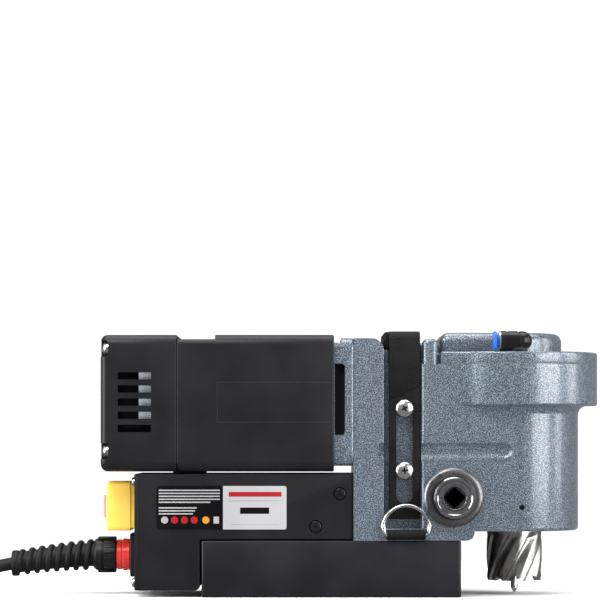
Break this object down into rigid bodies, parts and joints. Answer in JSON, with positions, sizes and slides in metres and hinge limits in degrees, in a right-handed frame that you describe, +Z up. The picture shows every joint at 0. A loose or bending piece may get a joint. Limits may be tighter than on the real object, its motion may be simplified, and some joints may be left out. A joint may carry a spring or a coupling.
{
  "type": "magnetic drill press",
  "caption": "Low-profile magnetic drill press with a horizontal motor, a geared quill, an annular cutter and a magnet base.",
  "frame": {"origin": "centre of the magnet's bottom face", "axes": "+X towards the cutter, +Y to the rear side, +Z up"},
  "size_m": [0.5445, 0.172, 0.17],
  "materials": {
    "black_steel": "satin black powder coat",
    "copper": "enamelled winding or copper segments",
    "dark_steel": "blackened steel",
    "steel": "machined bright",
    "label": "printed film with plain blocks",
    "board": "circuit board",
    "rubber": "black rubber",
    "yellow_plastic": "moulded yellow",
    "red_plastic": "moulded red",
    "green_plastic": "moulded green",
    "clear_plastic": "clear guard",
    "black_plastic": "fine moulded texture",
    "blue_plastic": "moulded blue",
    "chrome": "plated",
    "hammered_paint": "blue-grey hammered paint on an aluminium casting",
    "strap": "black textured strap"
  },
  "bodies": {
    "frame": {"magnet_body": "black_steel", "magnet_coil": "copper", "control_box": "black_steel", "box_screws": "dark_steel", "end_panel": "black_steel", "panel_screws": "steel", "label_plate": "label", "circuit_board": "board", "rubber_buffer": "rubber", "switch_housing": "yellow_plastic", "switch_hood": "clear_plastic", "power_inlet": "black_plastic", "inlet_collar": "red_plastic", "connector_body": "black_plastic", "strain_relief": "rubber", "power_cord": "rubber", "cord_coil": "rubber", "plug_body": "rubber", "plug_pins": "chrome", "rear_cover": "black_plastic", "rear_cover_screws": "chrome", "motor_housing": "black_plastic", "field_stator": "dark_steel", "brush_holders": "black_plastic", "brushes": "dark_steel", "motor_bearings": "steel", "motor_flange": "hammered_paint", "gear_bearings": "steel", "gear_housing": "hammered_paint", "gear_cover": "hammered_paint", "cover_screws": "steel", "feed_bushes": "steel", "strap_screws_front": "chrome", "strap_screws_rear": "chrome", "ring_loop": "strap", "coolant_elbow": "black_plastic"},
    "armature": {"armature_shaft": "steel", "armature_core": "dark_steel", "commutator": "copper", "fan": "black_plastic", "bevel_pinion": "steel"},
    "countershaft_group": {"countershaft": "steel", "bevel_gear": "steel", "spur_pinion": "steel"},
    "final_gear_group": {"final_gear": "steel"},
    "quill_group": {"quill": "steel", "quill_bearings": "steel"},
    "spindle_group": {"spindle": "steel", "grub_screws": "dark_steel", "annular_cutter": "steel", "pilot_spring": "steel"},
    "pilot": {"pilot_pin": "steel"},
    "feed": {"feed_shaft": "steel", "feed_hub_front": "dark_steel", "feed_hub_rear": "dark_steel"},
    "stop": {"stop_button": "red_plastic"},
    "start": {"start_button": "green_plastic"},
    "strap": {"carry_strap": "strap"},
    "ring": {"lifting_ring": "chrome"},
    "release": {"release_ring": "blue_plastic"}
  },
  "joints": [
    {"name": "final_gear_spin", "type": "hinge", "parent": "frame", "child": "final_gear_group", "pos_m": [0.12, 0, 0.141], "axis": [0, 0, 1], "continuous": true},
    {"name": "countershaft_spin", "type": "hinge", "parent": "frame", "child": "countershaft_group", "pos_m": [0.072, 0, 0.12], "axis": [0, 0, 1], "continuous": true},
    {"name": "armature_spin", "type": "hinge", "parent": "frame", "child": "armature", "pos_m": [-0.05, 0, 0.1239], "axis": [1, 0, 0], "continuous": true},
    {"name": "feed_turn", "type": "hinge", "parent": "frame", "child": "feed", "pos_m": [0.0779, 0, 0.0638], "axis": [0, 1, 0], "range_deg": [0, 136.1]},
    {"name": "quill_slide", "type": "slide", "parent": "frame", "child": "quill_group", "axis": [0, 0, -1], "range_m": [0, 0.038]},
    {"name": "spindle_spin", "type": "hinge", "parent": "quill_group", "child": "spindle_group", "pos_m": [0.12, 0, 0.08], "axis": [0, 0, 1], "continuous": true},
    {"name": "pilot_slide", "type": "slide", "parent": "spindle_group", "child": "pilot", "axis": [0, 0, 1], "range_m": [0, 0.03], "stiffness_N_per_m": 300, "springref_m": -0.01, "deforming": ["pilot_spring"]},
    {"name": "stop_press", "type": "slide", "parent": "frame", "child": "stop", "axis": [1, 0, 0], "range_m": [0, 0.003], "stiffness_N_per_m": 600},
    {"name": "start_press", "type": "slide", "parent": "frame", "child": "start", "axis": [1, 0, 0], "range_m": [0, 0.003], "stiffness_N_per_m": 600},
    {"name": "strap_lift", "type": "slide", "parent": "frame", "child": "strap", "axis": [0, 0, 1], "range_m": [0, 0.0162]},
    {"name": "ring_swing", "type": "hinge", "parent": "frame", "child": "ring", "pos_m": [0.0478, -0.0454, 0.0398], "axis": [1, 0, 0], "range_deg": [0, 170]},
    {"name": "release_press", "type": "slide", "parent": "frame", "child": "release", "axis": [1, 0, 0], "range_m": [0, 0.0012], "stiffness_N_per_m": 500}
  ],
  "couplings": [
    {"joint": "countershaft_spin", "follows": "final_gear_spin", "ratio": -2.7647},
    {"joint": "armature_spin", "follows": "final_gear_spin", "ratio": 5.299},
    {"joint": "spindle_spin", "follows": "final_gear_spin", "ratio": 1},
    {"joint": "feed_turn", "follows": "quill_slide", "rad_per_m": 62.5}
  ]
}
